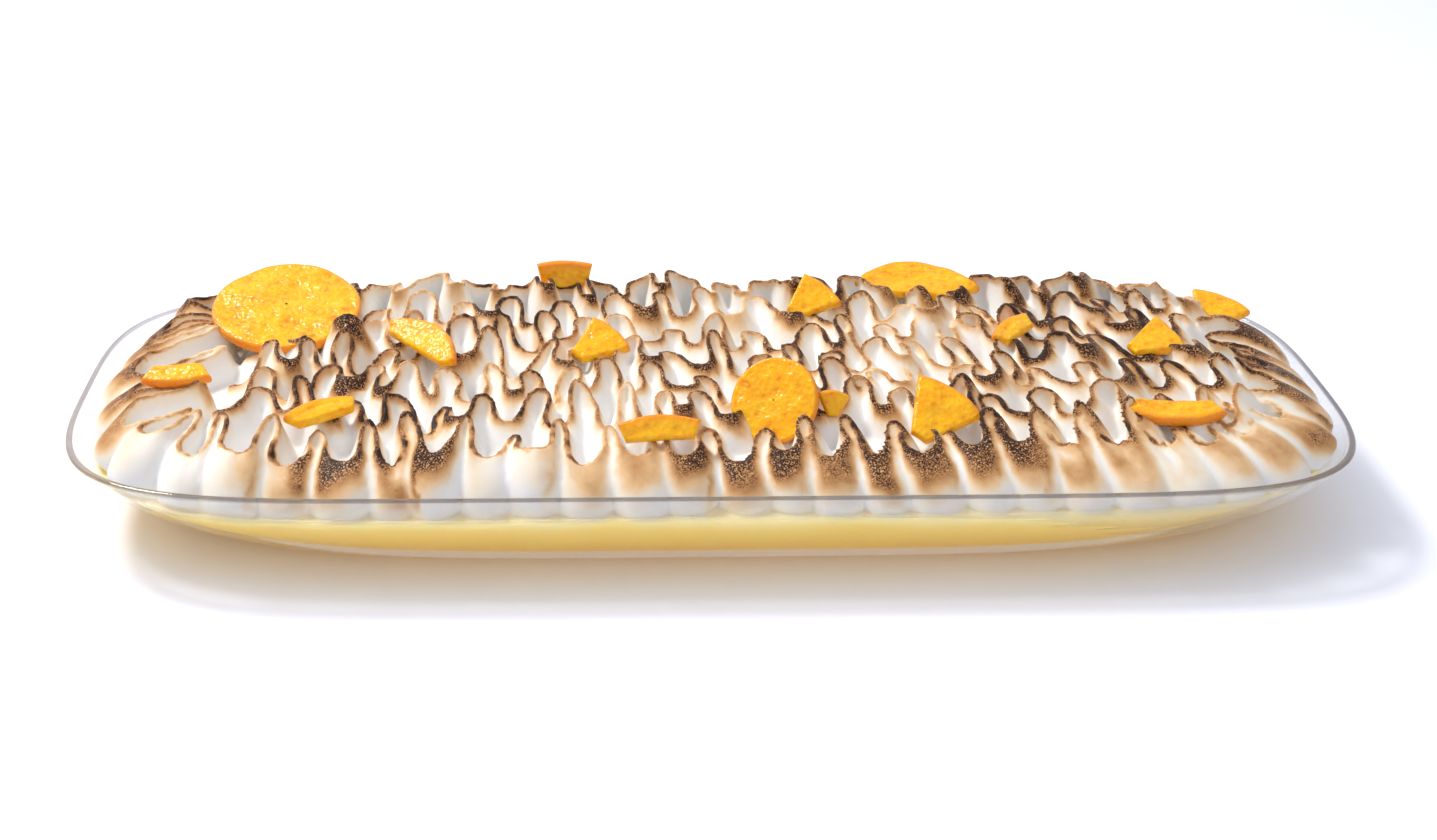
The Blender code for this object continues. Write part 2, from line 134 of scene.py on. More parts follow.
# The ranges that each fold's half-wave, swing, overhang, crest and lean are drawn from, in millimetres
GIRTHS = (6.0, 7.8)
RING_OUTER_FOLDS = {
    "half": (12.0, 17.0), "swing": (6.0, 9.5), "over": (0.8, 2.2), "crest": (20, 28), "lean": (7.0, 10.5),
}
RING_INNER_FOLDS = {
    "half": (5.0, 8.0), "swing": (7.0, 14.0), "over": (1.0, 2.2), "crest": (25, 36), "lean": (-2.0, 1.0),
}
ROW_FRONT_FOLDS = {
    "half": (7.0, 17.0), "swing": (5.0, 13.0), "over": (0.8, 2.6), "crest": (21, 35), "lean": (4.0, 8.0),
}
ROW_BACK_FOLDS = {
    "half": (6.0, 14.0), "swing": (5.0, 14.0), "over": (0.8, 2.6), "crest": (26, 38), "lean": (-3.0, 1.0),
}

# Crests that stand above the others: x, y, radius and height in millimetres
PEAKS = (
    (-184, 14, 7, 10), (-171, 20, 6, 9), (-247, 40, 9, 5), (-252, 62, 10, 5), (-150, 74, 10, 4),
    (-132, 84, 8, 5), (-80, 80, 9, 5), (-62, 82, 9, 5), (-22, 86, 9, 5), (6, 84, 7, 3), (60, 84, 8, 3),
    (160, 84, 8, 4), (186, 80, 8, 4), (214, 76, 9, 4), (246, 30, 8, 3), (-150, -46, 8, 4), (20, 40, 9, 3),
)

# How fine the shown meringue is
STATION_STEP = 0.001
SECTION_LEVELS = 14
EDGE_HALF = 0.0008
LIP_PER_LEAN = 0.06
VOXEL = 0.0010
SHOWN_TRIANGLES = 190000
TATTER = 0.0011
VALLEY_PASSES = 5
FORM_PASSES = 110
SWELL = (-0.0002, 0.0040)
EDGE_NEAR = (0.0010, 0.0024)
HALO_NEAR = (0.0010, 0.0070)
HALO = 0.36
TOAST_DROP = (0.001, 0.0175)
FINE_DROP = 0.004
TANGENT_STEPS = 4
END_LEAST = 0.02
TATTER_SCALES = (90, 320)
FINE_TATTER = 0.6
VALLEY_DEPTH = 0.0002

# How the torch browned it: the side it came from, the patches it left, and how dark they are
TORCH_FROM = (0.05, -0.62, 0.78)
FLAME = (-0.15, 0.75)
PATCH_SCALE = 22
FINE_SCALE = 75
WARMTH = 0.80
PATCH_WARMTH = 0.55
WARMTH_LIMITS = (0.08, 2.0)
HALO_LIMITS = (0.3, 1.4)
HALO_OVERLAP = 0.4
BURN = 0.55
BURN_PATCH = 0.55
BURN_FINE = 0.3
BURN_TORCH = 0.5
BURN_LIMITS = (0.12, 1)

# How strongly the mottling and the specks show in its colour and its surface
MOTTLE = 0.55
SPECKLE = 3.6
CHARRED = (0.50, 0.95)
EDGE_MOTTLE = 2.4
EDGE_DARK = 0.95
SPECKLE_BUMP = 2.5

# Where the torch lingered: x, y, radius in millimetres, and how much darker
TORCH_SPOTS = (
    (-158, 8, 11, 0.95), (-160, -28, 10, 0.9), (-150, -50, 12, 0.95), (-182, -40, 12, 0.8),
    (-176, -12, 9, 0.7), (158, 42, 13, 0.95), (150, 5, 11, 0.9), (205, 0, 15, 1.1), (193, -18, 14, 1.0),
    (215, 30, 12, 0.7), (-88, -22, 10, 0.6), (118, 4, 9, 0.6), (-172, -88, 10, 0.6), (-148, -88, 10, 0.65),
    (-126, -88, 9, 0.3), (0, -88, 9, 0.15), (25, -88, 9, 0.2), (50, -88, 9, 0.15), (94, -86, 10, 0.3),
    (118, -86, 10, 0.35), (142, -86, 10, 0.25), (230, -20, 14, 0.45), (20, 0, 12, 0.3),
)
# And where it barely passed
PALE_SPOTS = (
    (-88, -92, 34, 0.7), (-32, -92, 12, 0.25), (-250, -70, 28, 0.6), (-212, -92, 24, 0.75),
    (204, -92, 34, 0.5),
    (76, -92, 8, 0.4), (-110, 78, 30, 0.4), (70, -20, 14, 0.4), (-250, 10, 26, 0.35), (20, 60, 24, 0.3),
    (240, 60, 26, 0.3),
)

# Candied orange, as in the part: name, radius, middle and span of its arc of rind, tip as a share of the
# radius, thickness, place (x, y, z) of the piece's middle, turn about Z, lean back from upright
ORANGE_PIECES = (
    ("orange_round_left", 35, 0, 360, 1, 5.0, (-203, 46, 65), 5, 78),
    ("orange_strip_left", 34, 272, 54, 0.70, 5.0, (-243, -22, 61), 2, 74),
    ("orange_strip_front_left", 34, 90, 62, 0.76, 5.0, (-176, -57, 61), 36, 74),
    ("orange_strip_back_left", 36, 84, 90, 0.78, 5.0, (-135, 9, 65), -46, 62),
    ("orange_block_back", 62, 90, 26, 0.80, 6.0, (-71, 88, 66), 0, 12),
    ("orange_wedge_middle", 34, 42, 44, 0.30, 5.0, (-54, 8, 65), 0, 64),
    ("orange_strip_front", 48, 94, 44, 0.82, 5.5, (-30, -77, 61), -2, 40),
    ("orange_wedge_back", 34, 44, 44, 0.30, 5.0, (51, 58, 66), 0, 60),
    ("orange_tongue_middle", 20, 0, 360, 1, 5.0, (22, -52, 62), -28, 38),
    ("orange_slip_middle", 16, 75, 60, 0.30, 4.0, (49, -50, 60), 20, 30),
    ("orange_lens_back", 36, 84, 124, 0.50, 5.0, (107, 90, 61), 2, 75),
    ("orange_wedge_front", 38, 52, 54, 0.24, 5.0, (97, -59, 61), 0, 52),
    ("orange_strip_right", 33, 96, 56, 0.74, 5.0, (142, 19, 65), 43, 70),
    ("orange_wedge_right", 34, 26, 44, 0.26, 5.0, (208, 9, 66), 0, 70),
    ("orange_lens_right", 40, 268, 70, 0.78, 5.0, (200, -62, 60), 0, 74),
    ("orange_wedge_far_right", 34, 60, 54, 0.44, 5.0, (256, 56, 60), -4, 68),
)
SLICE_EDGE = 0.0013
SLICE_WARP = 0.0011
SUNK_TO = 0.0005
SUNK_FROM = 0.007
SLICE_TURNS = 40
WHOLE_TURNS = 160
SLICE_RADII = 24
EDGE_SPACING = (0.0, 0.15, 0.45)
RIND_SIDES = 10
CORE_SHARE = 0.02
WELD = 0.00002
SEGMENT_TURN = math.radians(36)
SEGMENT_WALL = 0.0007
SEGMENT_TO = 0.86
WALL_DIP = 0.04
WALL_DIP_WIDTH = 0.0016
WALL_DIP_TO = 0.88
RIND_DIP = 0.10
RIND_DIP_WIDTH = 0.035
NOISE_SHIFT = 9
PUCKER = 0.11
PUCKER_SCALE = 3.2
WARP_SCALE = 60
FINE_WARP = 0.4
FINE_WARP_SCALE = 2.1

# How the flesh, its walls and the rind show in the orange's colour and surface
FLESH_SHARE = 0.55
CLOUD_SHARE = 0.45
WALL_SHARE = 0.06
WALL_COLOUR = (1.0, 0.70, 0.10)
RIND_LOOK = (0.90, 0.95)
CELL_BUMP = 0.6

# The camera, solved from the dish's rim in the photograph
CAMERA_LENS = 50.1
CAMERA_SENSOR = 36.0
CAMERA_TURN = math.radians(-4.533)
CAMERA_RISE = math.radians(26.051)
CAMERA_ROLL = math.radians(1.707)
CAMERA_DISTANCE = 0.9005
CAMERA_TARGET = Vector((-0.00168, -0.03903, 0.0465))

FLOOR_HALF = 4.0
WORLD_COLOUR = (0.87, 0.90, 1.0)
WORLD_STRENGTH = 0.72


# Materials

def new_material(name):
    """A material with a Principled shader, and a function that adds nodes to it."""
    made = bpy.data.materials.new(name)
    made.use_nodes = True
    tree = made.node_tree
    shader = tree.nodes["Principled BSDF"]

    def add(kind, links=(), **settings):
        node = tree.nodes.new("ShaderNode" + kind)
        for key, value in settings.items():
            if key in node.inputs:
                node.inputs[key].default_value = value
            else:
                setattr(node, key, value)
        for socket, source in dict(links).items():
            tree.links.new(source, node.inputs[socket])
        return node

    def join(source, socket, target=shader):
        tree.links.new(source, target.inputs[socket])

    return made, shader, add, join


def set_inputs(node, **values):
    for name, value in values.items():
        node.inputs[name.replace("_", " ")].default_value = value


def ramp(add, fac, stops):
    """A colour ramp through (position, linear colour) stops."""
    node = add("ValToRGB", {"Fac": fac})
    elements = node.color_ramp.elements
    while len(elements) < len(stops):
        elements.new(0.5)
    for element, (position, colour) in zip(elements, stops):
        element.position = position
        element.color = (*colour, 1.0)
    return node.outputs["Color"]


def maths(add, operation, first, second=None, clamp=False):
    """One Math node; either value may be a number or a socket."""
    node = add("Math", operation=operation, use_clamp=clamp)
    for slot, value in enumerate((first, second)):
        if value is None:
            continue
        if isinstance(value, (int, float)):
            node.inputs[slot].default_value = value
        else:
            node.id_data.links.new(value, node.inputs[slot])
    return node.outputs["Value"]


def texture_noise(add, vector, scale, detail=2.0, roughness=0.5):
    node = add("TexNoise", {"Vector": vector}, Scale=scale, Detail=detail, Roughness=roughness)
    return node.outputs["Fac"]


def attribute(add, name):
    return add("Attribute", attribute_name=name).outputs["Fac"]


def meringue_material():
    """White foam that browns with the toast attribute, speckled where it is darkest, with burnt crests."""
    made, shader, add, join = new_material("toasted_meringue")
    place = add("TexCoord").outputs["Object"]
    toast = attribute(add, "toast")
    edge = attribute(add, "edge")
    mottle = maths(add, "SUBTRACT", texture_noise(add, place, 160.0, 3.0), 0.5)
    speckle = maths(add, "SUBTRACT", texture_noise(add, place, 1300.0, 2.0, 0.6), 0.5)
    lively = maths(add, "MULTIPLY", toast, maths(add, "MULTIPLY", mottle, MOTTLE))
    levels = {"From Min": CHARRED[0], "From Max": CHARRED[1]}
    charred = add("MapRange", {"Value": toast}, **levels).outputs["Result"]
    grains = maths(add, "MULTIPLY", charred, maths(add, "MULTIPLY", speckle, SPECKLE))
    browned = maths(add, "ADD", maths(add, "ADD", toast, lively), grains)
    torn = maths(add, "ADD", maths(add, "MULTIPLY", mottle, EDGE_MOTTLE), EDGE_DARK)
    ragged = maths(add, "MULTIPLY", edge, torn, True)
    total = maths(add, "MAXIMUM", browned, ragged, True)
    colour = ramp(add, total, (
        (0.0, (0.85, 0.835, 0.81)),
        (0.14, (0.85, 0.75, 0.60)),
        (0.32, (0.76, 0.50, 0.26)),
        (0.52, (0.50, 0.25, 0.09)),
        (0.72, (0.21, 0.085, 0.032)),
        (0.90, (0.032, 0.014, 0.008)),
    ))
    join(colour, "Base Color")
    set_inputs(
        shader, Roughness=0.5, Specular_IOR_Level=0.2,
        Subsurface_Weight=0.35, Subsurface_Radius=(1.0, 0.85, 0.7), Subsurface_Scale=0.0025,
    )
    pores = texture_noise(add, place, 420.0, 3.0, 0.55)
    specks = maths(add, "MULTIPLY", maths(add, "MULTIPLY", speckle, toast), SPECKLE_BUMP)
    height = maths(add, "ADD", pores, specks)
    bump = add("Bump", {"Height": height}, Strength=0.25, Distance=0.0006)
    join(bump.outputs["Normal"], "Normal")
    return made


def curd_material():
    """Set citrus curd: golden yellow, with painted shade darkening it towards the base, a painted highlight
    paling its top edge, and a painted glow from a little emission.
    """
    made, shader, add, join = new_material("citrus_curd")
    place = add("TexCoord").outputs["Object"]
    height = add("SeparateXYZ", {"Vector": place}).outputs["Z"]
    levels = {"From Min": CURD_PAINTED_SHADE_FULL, "From Max": CURD_LEVEL}
    painted_shade_to_highlight = add("MapRange", {"Value": height}, **levels).outputs["Result"]
    cloud = maths(add, "SUBTRACT", texture_noise(add, place, 30.0, 3.0), 0.5)
    painted_shade_and_cloud = maths(add, "ADD", painted_shade_to_highlight, maths(add, "MULTIPLY", cloud, 0.3))
    # painted shade darkens the curd towards its base and a painted highlight pales its top edge, mixed with
    # a random cloud of tone
    colour = ramp(add, painted_shade_and_cloud, (
        (0.0, (0.86, 0.50, 0.09)),
        (0.35, (0.95, 0.63, 0.14)),
        (0.80, (0.98, 0.73, 0.21)),
        (0.97, (0.99, 0.84, 0.44)),
    ))
    join(colour, "Base Color")
    # painted glow: a little emission brightens the curd, standing in for light reaching it through the glass
    set_inputs(
        shader, Roughness=0.35, Emission_Color=(1.0, 0.63, 0.12, 1.0), Emission_Strength=0.09,
        Subsurface_Weight=0.4, Subsurface_Radius=(1.0, 0.6, 0.2), Subsurface_Scale=0.004,
    )
    bump = add("Bump", {"Height": texture_noise(add, place, 60.0, 4.0)}, Strength=0.12, Distance=0.001)
    join(bump.outputs["Normal"], "Normal")
    return made


def glass_material():
    """Clear glass, clearest in its thin wall and strongest in its rim, whose dark colour is a painted
    reflection, with a painted golden glow of the curd near its base and the faintest waviness.
    """
    made, shader, add, join = new_material("clear_glass")
    place = add("TexCoord").outputs["Object"]
    set_inputs(shader, Roughness=0.0, IOR=1.46, Transmission_Weight=1.0)
    height = add("SeparateXYZ", {"Vector": place}).outputs["Z"]
    levels = {"From Min": DISH_HEIGHT - RIM_LOOK_DEPTHS[0], "From Max": DISH_HEIGHT - RIM_LOOK_DEPTHS[1]}
    near_rim = add("MapRange", {"Value": height}, **levels).outputs["Result"]
    levels = {"From Min": BASE_GLOW_TOP, "From Max": BASE_GLOW_FULL}
    near_base = add("MapRange", {"Value": height}, **levels).outputs["Result"]
    wall = maths(add, "ADD", maths(add, "MULTIPLY", near_rim, RIM_ALPHA - WALL_ALPHA), WALL_ALPHA)
    join(maths(add, "SUBTRACT", wall, maths(add, "MULTIPLY", near_base, WALL_ALPHA - BASE_ALPHA)), "Alpha")
    # painted glow: the glass near its base is tinted golden, standing in for the curd's light seen through
    # it
    clear = ramp(add, near_base, ((0.0, CLEAR_GLASS), (1.0, PAINTED_CURD_GLOW_GLASS)))
    # painted reflection: the rim is coloured dark, standing in for the dark surroundings it would reflect
    rim = add("MixRGB", {"Fac": near_rim, "Color1": clear})
    rim.inputs["Color2"].default_value = (*PAINTED_DARK_RIM_GLASS, 1.0)
    join(rim.outputs["Color"], "Base Color")
    bump = add("Bump", {"Height": texture_noise(add, place, 9.0, 1.0)}, Strength=0.06, Distance=0.002)
    join(bump.outputs["Normal"], "Normal")
    return made


def orange_material():
    """Candied orange: glossy amber flesh in segments with paler walls, and a deeper rind."""
    made, shader, add, join = new_material("candied_orange_slice")
    place = add("TexCoord").outputs["Object"]
    reach = attribute(add, "reach")
    wall = attribute(add, "wall")
    flesh = texture_noise(add, place, 260.0, 4.0, 0.6)
    cloud = texture_noise(add, place, 70.0, 2.0)
    tone = maths(
        add, "ADD", maths(add, "MULTIPLY", flesh, FLESH_SHARE), maths(add, "MULTIPLY", cloud, CLOUD_SHARE),
    )
    amber = ramp(add, tone, (
        (0.36, (0.74, 0.25, 0.002)),
        (0.46, (0.92, 0.42, 0.003)),
        (0.58, (0.96, 0.50, 0.005)),
        (0.74, (1.0, 0.66, 0.040)),
    ))
    walled = add("MixRGB", {"Fac": maths(add, "MULTIPLY", wall, WALL_SHARE), "Color1": amber})
    walled.inputs["Color2"].default_value = (*WALL_COLOUR, 1.0)
    rind = ramp(add, reach, (
        (0.90, (0.96, 0.48, 0.010)),
        (0.945, (0.93, 0.40, 0.010)),
        (0.98, (0.88, 0.32, 0.010)),
        (1.0, (0.80, 0.25, 0.008)),
    ))
    levels = {"From Min": RIND_LOOK[0], "From Max": RIND_LOOK[1]}
    is_rind = add("MapRange", {"Value": reach}, **levels).outputs["Result"]
    colour = add("MixRGB", {"Fac": is_rind, "Color1": walled.outputs["Color"], "Color2": rind})
    join(colour.outputs["Color"], "Base Color")
    set_inputs(
        shader, Roughness=0.2, Specular_IOR_Level=0.35,
        Subsurface_Weight=0.45, Subsurface_Radius=(1.0, 0.4, 0.03), Subsurface_Scale=0.004,
    )
    cells = add("TexVoronoi", {"Vector": place}, Scale=420.0).outputs["Distance"]
    height = maths(add, "ADD", maths(add, "MULTIPLY", cells, CELL_BUMP), flesh)
    bump = add("Bump", {"Height": height}, Strength=0.8, Distance=0.0008)
    join(bump.outputs["Normal"], "Normal")
    return made


def floor_material():
    made, shader, add, join = new_material("pale_floor")
    place = add("TexCoord").outputs["Object"]
    cloud = texture_noise(add, place, 3.0, 2.0)
    join(ramp(add, cloud, ((0.0, (0.885, 0.90, 0.965)), (1.0, (0.905, 0.92, 0.98)))), "Base Color")
    set_inputs(shader, Roughness=0.75, Specular_IOR_Level=0.2)
    return made


# Shared geometry

def new_piece(name, points, faces, look, slot=None, *replaced):
    """A named smooth piece that rides on the part and stands for the CAD nodes it replaces."""
    data = bpy.data.meshes.new(name)
    data.from_pydata([tuple(point) for point in points], [], faces)
    data.shade_smooth()
    made = bpy.data.objects.new(name, data)
    bpy.context.scene.collection.objects.link(made)
    data.materials.append(look)
    if replaced:
        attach(made, "root")
        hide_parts(*replaced)
    return made


def sheet_faces(rows, columns, rows_closed, columns_closed):
    """The quads of a grid of points, joined end to end along either side that is closed."""
    faces = []
    for row in range(rows if rows_closed else rows - 1):
        after_row = (row + 1) % rows
        for column in range(columns if columns_closed else columns - 1):
            after = (column + 1) % columns
            faces.append((row * columns + column, row * columns + after,
                          after_row * columns + after, after_row * columns + column))
    return faces


def superellipse(half_x, half_y, powers, count):
    """Points spaced evenly round |x/a|^n + |y/b|^m = 1."""
    turn = np.linspace(0, 2 * math.pi, OUTLINE_POINTS)
    cos, sin = np.cos(turn), np.sin(turn)
    x = half_x * np.sign(cos) * np.abs(cos) ** (2 / powers[0])
    y = half_y * np.sign(sin) * np.abs(sin) ** (2 / powers[1])
    run = np.concatenate([[0], np.cumsum(np.hypot(np.diff(x), np.diff(y)))])
    at = np.linspace(0, run[-1], count, endpoint=False)
    return np.interp(at, run, x), np.interp(at, run, y)


def dish_section(height):
    """Half length, half width and powers of the dish's outer plan at a share of its height."""
    inset = 1 - (1 - (1 - height) ** BELLY) ** (1 / BELLY)
    powers = [low + (high - low) * height for low, high in zip(BASE_POWERS, RIM_POWERS)]
    return DISH_LENGTH / 2 - BASE_INSET_X * inset, DISH_WIDTH / 2 - BASE_INSET_Y * inset, powers


def inner_section(height, clearance=0.0):
    """The same for the inside of the glass, whose floor is one wall above the table."""
    half_x, half_y, powers = dish_section(height)
    return half_x - WALL - clearance, half_y - WALL - clearance, powers


def plan_ring(section, z, count=FINE_SIDES):
    x, y = superellipse(*section, count)
    return np.stack([x, y, np.full(count, z)], axis=1)


def curd_top(x):
    return CURD_LEVEL + CURD_SLOPE * x


def lofted(rings):
    """Points and faces of a closed body through rings, each end closed by a fan round its middle."""
    rings = [np.asarray(ring) for ring in rings]
    count = len(rings[0])
    points = np.concatenate(rings + [rings[0].mean(0)[None], rings[-1].mean(0)[None]])
    faces = sheet_faces(len(rings), count, False, True)
    first, last = len(points) - 2, len(points) - 1
    base = (len(rings) - 1) * count
    for side in range(count):
        after = (side + 1) % count
        faces.append((after, side, first))
        faces.append((base + side, base + after, last))
    return points, faces


# The dish and the curd

def make_dish(look):
    """The glass with a rounded rim."""
    half_x, half_y, powers = dish_section(1.0)
    radius = WALL / 2
    rings = [plan_ring(dish_section(level), level * DISH_HEIGHT) for level in DISH_LEVELS]
    for step in range(RIM_STEPS):
        turn = math.pi * step / (RIM_STEPS - 1)
        inset = radius - radius * math.cos(turn)
        z = DISH_HEIGHT - radius + radius * math.sin(turn)
        rings.append(plan_ring((half_x - inset, half_y - inset, powers), z))
    for level in reversed(DISH_LEVELS):
        rings.append(plan_ring(inner_section(level), WALL + level * (DISH_HEIGHT - WALL)))
    points, faces = lofted(rings)
    new_piece("glass_dish", points, faces, look, "glass", "dish")


def make_curd(look):
    """The curd, reaching just into the glass, with a soft brim that climbs the wall a little."""
    rings = []
    top = (CURD_LEVEL - WALL) / (DISH_HEIGHT - WALL)
    for share in CURD_LEVELS:
        ring = plan_ring(inner_section(top * share, -CURD_BITE), 0.0)
        ring[:, 2] = WALL - CURD_BITE + share * (curd_top(ring[:, 0]) - WALL + CURD_BITE)
        rings.append(ring)
    brim = rings[-1]
    for inset, drop in BRIM_STEPS:
        ring = plan_ring(inner_section(top, inset), 0.0)
        ring[:, 2] = curd_top(ring[:, 0]) - drop
        for point in ring:
            at = Vector((point[0] * BRIM_WAVE_SCALE, point[1] * BRIM_WAVE_SCALE, BRIM_SEED))
            point[2] += BRIM_WAVE * noise.noise(at)
        rings.append(ring)
    brim[:, 2] += BRIM_LIFT
    points, faces = lofted(rings)
    new_piece("citrus_curd", points, faces, look, "curd", "curd")


# The meringue's ruffles, as in the part

def draw_folds(length, rng, outer, inner, stretch=None):
    """Folds of a ruffle until the length is used: half-wave, swing, overhang, crest height, girth and lean.

    stretch(share) lengthens the inner folds by a distance that depends on how far along they lie.
    """
    folds = []
    used = 0.0
    while used < length or len(folds) % 2:
        side = outer if len(folds) % 2 == 0 else inner
        fold = {
            "half": rng.uniform(*side["half"]) * MM,
            "swing": rng.uniform(*side["swing"]) * MM,
            "over": rng.uniform(*side["over"]) * MM,
            "crest": rng.uniform(*side["crest"]) * MM,
            "girth": rng.uniform(*GIRTHS) * MM,
            "lean": rng.uniform(*side["lean"]) * MM,
            "skew": rng.uniform(-MOST_SKEW, MOST_SKEW),
            "way": 1 if len(folds) % 2 == 0 else -1,
        }
        folds.append(fold)
        used += fold["half"]
    start = 0.0
    for fold in folds:
        if stretch and fold["way"] < 0:
            extra = stretch(start / used)
            fold["swing"] += extra
            fold["skew"] -= STROKE_SKEW * extra / LEFT_STROKES
        start += fold["half"]
        fold["half"] *= length / used
    return folds


def blend_folds(folds, name, share, closed):
    """A fold's value at its middle, eased towards its neighbours' at its ends."""
    values = np.array([fold[name] for fold in folds])
    before, after = np.roll(values, 1), np.roll(values, -1)
    if not closed:
        before[0], after[-1] = values[0], values[-1]
    columns = []
    for value, low, high in zip(values, before, after):
        away = np.abs(share - 0.5) * 2
        other = np.where(share < 0.5, low, high)
        columns.append(value + (other - value) * 0.5 * away**2 * (3 - 2 * away))
    return np.concatenate(columns)


def pressed(x, y, crest):
    """The crests' heights once the orange pieces have pressed them down, further under an upright piece."""
    for _, radius, _, span, tip, _, place, _, lean in ORANGE_PIECES:
        whole = span >= 360
        half_length = radius * MM * math.sin(math.radians(min(span, 180) / 2))
        half_height = radius * MM * (1 if whole else (1 - tip) / 2)
        reach = half_length * (SLICE_PRESS if whole and lean > FLAT_LEAN else STRIP_PRESS)
        seat = SEAT + UPRIGHT_SEAT * half_height * math.cos(math.radians(lean))
        away = np.hypot(x - place[0] * MM, y - place[1] * MM) / reach
        over = np.maximum(crest - (place[2] * MM - curd_top(x) - seat), 0)
        crest = crest - over * np.exp(-(away**4))
    return crest


def raised(x, y):
    """How far the peaks lift the crests at each point."""
    total = np.zeros_like(x)
    for peak_x, peak_y, radius, height in PEAKS:
        away = np.hypot(x - peak_x * MM, y - peak_y * MM) / (radius * MM)
        total += height * MM * np.exp(-(away**2))
    return total


def long_fingers(x, y):
    """How much further in the ring's crest lies where the fingers at the front right are long."""
    along = np.exp(-(((x - LONG_FINGERS_AT) / LONG_FINGERS_REACH) ** 2))
    return LONG_FINGERS * along * np.clip(-y / FRONT_DEPTH, 0, 1)


def section_widths(rise, fullness):
    """A ribbon's half-widths up its section, as shares of its girth: foot, belly and thinning lip."""
    to_lip = np.clip((rise - BELLY_AT) / (LIP_FROM - BELLY_AT), 0, 1)
    foot = FOOT_SHARE + (1 - FOOT_SHARE) * np.sin(rise / BELLY_AT * math.pi / 2)
    return np.where(rise < BELLY_AT, foot, 1 - to_lip**fullness)


def crest_line(spine, length, folds, closed):
    """Points every half millimetre along a ruffle's crest, with its lean, girth and height.

    spine(u) gives x, y and the outward normal at a distance u along the row's middle.
    """
    share = (np.arange(POINTS_PER_FOLD) + 0.5) / POINTS_PER_FOLD
    along, across = [], []
    start = 0.0
    for fold in folds:
        reach = fold["swing"] * np.sin(math.pi * share)
        overhang = fold["over"] * np.sin(2 * math.pi * share)
        along.append(start + fold["half"] * share - overhang + fold["skew"] * reach)
        across.append(fold["way"] * reach)
        start += fold["half"]
    along, across = np.concatenate(along), np.concatenate(across)
    x, y, normal_x, normal_y = spine(np.clip(along, 0, length) if not closed else along % length)
    lean = blend_folds(folds, "lean", share, closed)
    x, y = x + normal_x * across, y + normal_y * across
    if closed:
        further = long_fingers(x, y)
        x, y, lean = x - normal_x * further, y - normal_y * further, lean + further
    slant = SLANT * np.maximum(x - SLANT_FROM, 0)
    columns = np.stack([
        x,
        y,
        pressed(x, y, blend_folds(folds, "crest", share, closed) + RISE_TO_BACK * y + raised(x, y)),
        blend_folds(folds, "girth", share, closed),
        normal_x * lean + slant,
        normal_y * lean,
    ])
    return resample(smooth(columns, closed), closed)


def smooth(columns, closed, passes=14):
    """Eases the kinks where folds meet."""
    for _ in range(passes):
        before, after = np.roll(columns, 1, axis=1), np.roll(columns, -1, axis=1)
        if not closed:
            before[:, 0], after[:, -1] = columns[:, 0], columns[:, -1]
        columns = (before + 2 * columns + after) / 4
    return columns


def resample(columns, closed):
    """The same line with its points evenly spaced."""
    if closed:
        columns = np.concatenate([columns, columns[:, :1]], axis=1)
    run = np.concatenate([[0], np.cumsum(np.hypot(np.diff(columns[0]), np.diff(columns[1])))])
    count = int(run[-1] / CREST_STEP)
    at = np.linspace(0, run[-1], count, endpoint=not closed)
    return np.stack([np.interp(at, run, column) for column in columns])


def ring_spine():
    """The spine round the dish, RING_INSET in from the curd's edge."""
    half_x, half_y, _ = inner_section((CURD_LEVEL - WALL) / (DISH_HEIGHT - WALL), RING_INSET)
    x, y = superellipse(half_x, half_y, RING_POWERS, SPINE_POINTS)
    x, y = np.append(x, x[0]) + RING_SHIFT, np.append(y, y[0])
    run = np.concatenate([[0], np.cumsum(np.hypot(np.diff(x), np.diff(y)))])

    def spine(u):
        px, py = np.interp(u, run, x), np.interp(u, run, y)
        ahead = (u + SPINE_LOOK) % run[-1]
        behind = (u - SPINE_LOOK) % run[-1]
        dx = np.interp(ahead, run, x) - np.interp(behind, run, x)
        dy = np.interp(ahead, run, y) - np.interp(behind, run, y)
        size = np.hypot(dx, dy)
        return px, py, dy / size, -dx / size

    return spine, run[-1]


def row_spine(middle, wave):
    """A gently wavy spine along the dish."""
    start, end = ROW_REACH

    def spine(u):
        x = start + u
        y = middle + LONG_WAVE[0] * np.sin(x / LONG_WAVE[1] + wave)
        y = y + SHORT_WAVE[0] * np.sin(x / SHORT_WAVE[1] + 2 * wave)
        return x, y, np.zeros_like(x), -np.ones_like(x)

    return spine, end - start


def left_strokes(share):
    """How much further the folds round the dish's left end reach inwards; halfway round is that end."""
    return LEFT_STROKES * math.exp(-(((share - 0.5) / STROKES_SHARE) ** 2))


def ruffles():
    """Every crest line of the piping, as (line, closed)."""
    rng = random.Random(RUFFLE_SEED)
    spine, length = ring_spine()
    folds = draw_folds(length, rng, RING_OUTER_FOLDS, RING_INNER_FOLDS, left_strokes)
    lines = [(crest_line(spine, length, folds, True), True)]
    for row in range(ROWS):
        middle = (row - (ROWS - 1) / 2) * ROW_PITCH
        spine, length = row_spine(middle, rng.uniform(0, 2 * math.pi))
        folds = draw_folds(length, rng, ROW_FRONT_FOLDS, ROW_BACK_FOLDS)
        lines.append((crest_line(spine, length, folds, False), False))
    return lines


# The shown meringue

def tattered(line, seed):
    """The line with its crest height made slightly uneven, as torn foam is."""
    x, y, crest, girth, lean_x, lean_y = line
    coarse, fine = TATTER_SCALES
    uneven = np.array([
        noise.noise(Vector((px * coarse, py * coarse, seed)))
        + FINE_TATTER * noise.noise(Vector((px * fine, py * fine, seed)))
        for px, py in zip(x, y)
    ])
    return np.stack([x, y, crest + TATTER * uneven, girth, lean_x, lean_y])


